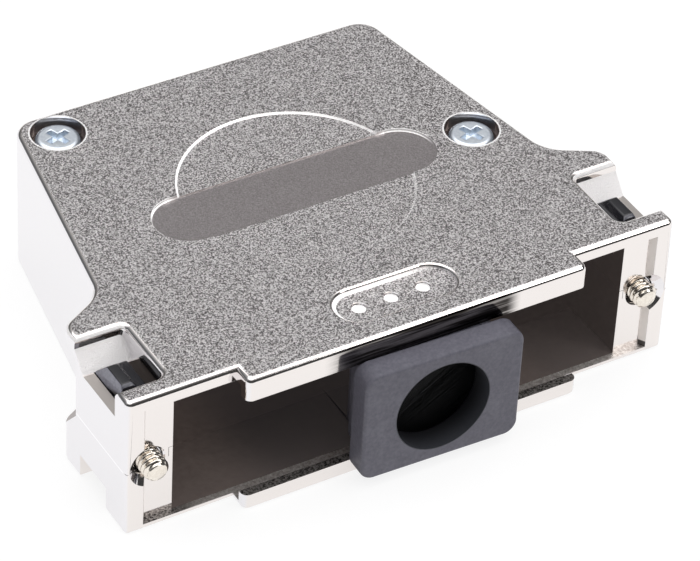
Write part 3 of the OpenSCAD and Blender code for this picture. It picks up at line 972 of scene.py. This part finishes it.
# %% Rubber
BORE = {m["name"]: m for m in frame["record"]["mounts"]}["grommet_bore"]
BORE_CENTRE = Vector(BORE["pos_m"])
BORE_AXIS = Vector(BORE["axis"])
BORE_RADIUS = BORE["dims"]["r_mm"] / 1000
BORE_SKIN = 0.00008
RUBBER = ((0.085, 0.084, 0.105), (0.145, 0.14, 0.172))
DUST = (0.3, 0.3, 0.34)
BORE_MOUTH_SHADE = (0.045, 0.047, 0.056)
BORE_DEEP_SHADE = (0.008, 0.008, 0.01)
BORE_SHADE_DEEPENS_Y = (-0.0062, -0.0025)


def bore_mask(tree, place):
    """1 on the wall of the grommet's bore."""
    x, y, z = (math_node(tree, "SUBTRACT", place[axis], centre)
               for axis, centre in zip("XYZ", BORE_CENTRE))
    side = total(tree, product(tree, x, -BORE_AXIS.y), product(tree, y, BORE_AXIS.x))
    return below(tree, squares(tree, side, z), (BORE_RADIUS + BORE_SKIN) ** 2)


def rubber_material():
    """Dusty matt rubber with painted shade that grows dark in the bore."""
    material, tree, shader = new_material("matt_rubber")
    place, _ = position_parts(tree)
    colour, height = grain(tree, 2400, *RUBBER, 1.8)
    coords = add(tree, "ShaderNodeTexCoord").outputs["Object"]
    dust = ramp(tree, noise(tree, coords, 420, 4), [(0.5, (0, 0, 0)), (0.8, (1, 1, 1))])
    dusty = mix_colour(tree, product(tree, dust, 0.12), colour, DUST)
    # painted shade in the bore, darker further in
    bore = mix_colour(tree, steps(tree, place["Y"], *BORE_SHADE_DEEPENS_Y), BORE_MOUTH_SHADE, BORE_DEEP_SHADE)
    put_all(tree, shader, {
        "Base Color": mix_colour(tree, bore_mask(tree, place), dusty, bore),
        "Roughness": 0.5,
        "Specular IOR Level": 0.35,
    })
    bump(tree, shader, height, 0.25, 0.00003)
    return material


rubber = rubber_material()
print(rubber.name, "with a bore of radius", mm([BORE_RADIUS]), "mm")

# %% [markdown]
# ## Which piece has which finish
# Both shells share the nickel, the two blocks the plastic, and so on. A table of names keeps
# that in one place, and a loop over it later dresses every piece.

# %% Finish of each piece
FINISH = {
    "upper_shell": nickel,
    "lower_shell": nickel,
    "left_screw_block": black_plastic,
    "right_screw_block": black_plastic,
    "rear_left_screw": zinc,
    "middle_right_screw": zinc,
    "left_jackscrew": steel,
    "right_jackscrew": steel,
    "grommet": rubber,
}
print(len(FINISH), "pieces with", len(set(FINISH.values())), "materials")

# %% [markdown]
# ## Which edges are rounded
# CAD edges are perfectly sharp, and real castings are not. The rims of the two broad faces and
# of the grommet are rounded visibly, the pad's upper edge less, and the small pieces hardly.
# A vertex group marks a rim, and it is filled by the place of the vertices.

# %% Edges to round
RIM_WIDTH = {"upper_shell": 0.00075, "lower_shell": 0.0005, "grommet": 0.0004}
RIM_SEGMENTS = 4
PAD_WIDTH = 0.00042
PAD_SEGMENTS = 3
BLOCK_EDGE = 0.00018
SCREW_EDGE = 0.00012
EDGE_WIDTH = {
    "left_screw_block": BLOCK_EDGE,
    "right_screw_block": BLOCK_EDGE,
    "rear_left_screw": SCREW_EDGE,
    "middle_right_screw": SCREW_EDGE,
}
BROAD_Z = {"upper_shell": cad_box[1].z, "lower_shell": cad_box[0].z}
EAR_X = cad_box[1].x
PAD_TOP_Z = 0.009
HOLE_R = 0.0032
SAME_PLACE = 0.000002
RELIEF_MARGIN = 0.0001
BORE_MARGIN = 0.00055


def in_box(place, middle_y, half, margin):
    """True within a margin of a shape that lies across the middle of the top."""
    return abs(place.x) < half[0] + margin and abs(place.y - middle_y) < half[1] + margin


def in_relief(place):
    """True on the disc, bar, pad and counterbores of the top."""
    from_disc = math.hypot(place.x, place.y - BAR_Y)
    from_screws = [math.hypot(place.x - x, place.y - y) for x, y in HOUSING_SCREWS.values()]
    return (from_disc < DISC_R + RELIEF_MARGIN or min(from_screws) < HOLE_R
            or in_box(place, BAR_Y, BAR_HALF, RELIEF_MARGIN)
            or in_box(place, PAD_Y, PAD_HALF, RELIEF_MARGIN))


def on_shell_rim(name, place):
    """True on the outline of a broad face and on the ears' upright front corners."""
    if abs(place.x) > EAR_X - SAME_PLACE and abs(place.y) < SAME_PLACE:
        return True
    at_face = abs(place.z - BROAD_Z[name]) < SAME_PLACE
    return at_face and (place.z < 0 or not in_relief(place))


def on_rim(name, place):
    """True on the vertices that a piece's first bevel rounds."""
    if name == "grommet":
        from_bore = math.hypot(place.x - BORE_CENTRE.x, place.z - BORE_CENTRE.z)
        return from_bore > BORE_RADIUS + BORE_MARGIN
    return on_shell_rim(name, place)


def on_pad(place):
    """True on the upper edge of the pad behind the lip."""
    return place.z > PAD_TOP_Z and in_box(place, PAD_Y, PAD_HALF, RELIEF_MARGIN)


print("rims rounded by", {name: mm([width]) for name, width in RIM_WIDTH.items()}, "mm")

# %% [markdown]
# ## Rounding by modifiers
# The bevels could be cut into the meshes, but the CAD meshes have to stay as they are. So each
# is a modifier that works on the marked vertices only. A bevel spreads its group's weights to
# new vertices, and an edit of the weights before the next bevel clears those.

# %% Rounding by modifiers
EDGE_ANGLE = math.radians(32)


def add_modifier(node, name, kind, **values):
    """A modifier with its properties set."""
    modifier = node.modifiers.new(name, kind)
    for key, value in values.items():
        setattr(modifier, key, value)


def round_marked(node, label, width, segments, marked):
    """Rounds the edges between the marked vertices."""
    group = node.vertex_groups.new(name=label)
    group.add(marked, 1.0, "REPLACE")
    add_modifier(node, f"only_{label}", "VERTEX_WEIGHT_EDIT", vertex_group=label,
                 use_remove=True, remove_threshold=0.5)
    add_modifier(node, f"round_{label}", "BEVEL", width=width, segments=segments,
                 limit_method="VGROUP", vertex_group=label, use_clamp_overlap=False,
                 loop_slide=False)
    print(node.name, label, len(marked), "vertices")


def round_rims(name, node):
    """Rounds the rim of a shell or the grommet, and the upper shell's pad."""
    places = [(v.index, v.co) for v in node.data.vertices]
    rim = [index for index, place in places if on_rim(name, place)]
    round_marked(node, "rim", RIM_WIDTH[name], RIM_SEGMENTS, rim)
    if name == "upper_shell":
        pad = [index for index, place in places if on_pad(place)]
        round_marked(node, "pad", PAD_WIDTH, PAD_SEGMENTS, pad)


def break_edges(name, node):
    """Takes the sharpness off all edges of a small piece."""
    add_modifier(node, "broken_edges", "BEVEL", width=EDGE_WIDTH[name], segments=2,
                 limit_method="ANGLE", angle_limit=EDGE_ANGLE, use_clamp_overlap=False)


print("modifiers ready")

# %% [markdown]
# ## Dressing the pieces
# Every piece gets its material and smooth faces. The CAD mesh is made of many flat triangles,
# so they are joined first. The normals are then weighted by area: large faces stay flat to the
# eye and only the bevels between them shade as round.

# %% Dressing the pieces
FLAT_ANGLE = math.radians(0.4)
CREASE_ANGLE = math.radians(40)


def finish_node(name):
    """Material, rounding and shading of one piece."""
    node = nodes[name]
    node.data.materials.clear()
    node.data.materials.append(FINISH[name])
    for face in node.data.polygons:
        face.use_smooth = True
    add_modifier(node, "weld", "WELD", merge_threshold=SAME_PLACE)
    add_modifier(node, "flat_faces", "DECIMATE", decimate_type="DISSOLVE",
                 angle_limit=FLAT_ANGLE)
    if name in RIM_WIDTH:
        round_rims(name, node)
    if name in EDGE_WIDTH:
        break_edges(name, node)
    add_modifier(node, "crisp_edges", "EDGE_SPLIT", split_angle=CREASE_ANGLE)
    add_modifier(node, "flat_shading", "WEIGHTED_NORMAL", mode="FACE_AREA", weight=100,
                 keep_sharp=True)
    print(name, "finished with", FINISH[name].name)


for name in FINISH:
    finish_node(name)

# %% [markdown]
# ## Threads of the jackscrews
# The CAD jackscrews carry a plain cylinder where the real ones have a fine thread of 40 turns
# to the inch. A screw modifier could wind a profile, but it leaves the ends open. Here a grid
# of points is wound round the axis, with the radius following the turn, and closed at both ends.

# %% Shape of the thread
PITCH = 0.000635
MAJOR_R = 0.00142
MINOR_R = 0.00108
SHANK_R = 0.00115
ROOT_SHARE = 0.12
FLANK_SHARE = 0.62
THREAD_END_Y = 0.003
JOIN_Y = 0.0035
JOIN_OVERLAP = 0.0001
TIP_BEVEL = 0.00045
SEGMENTS = 48
STEPS_PER_PITCH = 8


def thread_radius(turn, y, tip_y):
    """Radius of the thread at a turn around the axis, bevelled at the tip."""
    if y > THREAD_END_Y:
        return SHANK_R
    from_root = 1 - abs(2 * (turn % 1) - 1)
    level = min(1.0, max(0.0, (from_root - ROOT_SHARE) / FLANK_SHARE))
    radius = MINOR_R + (MAJOR_R - MINOR_R) * level
    return min(radius, MAJOR_R - TIP_BEVEL + max(0.0, y - tip_y))


def add_ring(work, axis_x, y, tip_y):
    """One ring of the thread's points."""
    ring = []
    for j in range(SEGMENTS):
        radius = thread_radius(y / PITCH - j / SEGMENTS, y, tip_y)
        angle = 2 * math.pi * j / SEGMENTS
        place = (axis_x + radius * math.cos(angle), y, radius * math.sin(angle))
        ring.append(work.verts.new(place))
    return ring


def add_thread(work, axis_x, tip_y):
    """Adds the closed threaded front part to a bmesh."""
    step = PITCH / STEPS_PER_PITCH
    count = int((JOIN_Y + JOIN_OVERLAP - tip_y) / step)
    rings = [add_ring(work, axis_x, tip_y + i * step, tip_y) for i in range(count + 1)]
    for low, high in zip(rings, rings[1:]):
        for j in range(SEGMENTS):
            k = (j + 1) % SEGMENTS
            work.faces.new((low[j], high[j], high[k], low[k]))
    work.faces.new(rings[0])
    work.faces.new(list(reversed(rings[-1])))


print("thread of pitch", round(PITCH * 1000, 3), "mm")

# %% [markdown]
# ## Threaded jackscrews
# Each jackscrew is replaced by one new piece: the threaded front joined to a copy of the CAD
# solid's rear, which is cut off behind the thread. The CAD piece is hidden, and the new one rides
# on the same body and carries the steel.

# %% Threaded jackscrews
TIP_Y = {"left": -0.0013, "right": -0.00085}
THREAD_CREASE = math.radians(38)


def keep_rear(work):
    """Cuts a bmesh at the joint with the thread and closes the cut."""
    geometry = work.verts[:] + work.edges[:] + work.faces[:]
    cut = bmesh.ops.bisect_plane(work, geom=geometry, plane_co=(0, JOIN_Y, 0),
                                 plane_no=(0, 1, 0), clear_inner=True)
    rim = [e for e in cut["geom_cut"] if isinstance(e, bmesh.types.BMEdge)]
    bmesh.ops.holes_fill(work, edges=rim)


def threaded_jackscrew(side, axis_x):
    """One jackscrew with a real thread in place of the CAD one."""
    node = nodes[f"{side}_jackscrew"]
    work = bmesh.new()
    work.from_mesh(node.data)
    work.transform(node.matrix_world)
    keep_rear(work)
    add_thread(work, axis_x, TIP_Y[side])
    bmesh.ops.recalc_face_normals(work, faces=work.faces[:])
    mesh = bpy.data.meshes.new(f"{side}_threaded_jackscrew")
    work.to_mesh(mesh)
    work.free()
    for face in mesh.polygons:
        face.use_smooth = True
    mesh.set_sharp_from_angle(angle=THREAD_CREASE)
    mesh.materials.append(steel)
    piece = bpy.data.objects.new(mesh.name, mesh)
    bpy.context.scene.collection.objects.link(piece)
    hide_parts(f"{side}_jackscrew")
    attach(piece, f"{side}_screw")
    print(piece.name, "has", len(mesh.polygons), "faces")


hinges = {joint["child"]: joint for joint in frame["joints"] if joint["type"] == "hinge"}
for side in TIP_Y:
    threaded_jackscrew(side, hinges[f"{side}_screw"]["pos_m"][0])
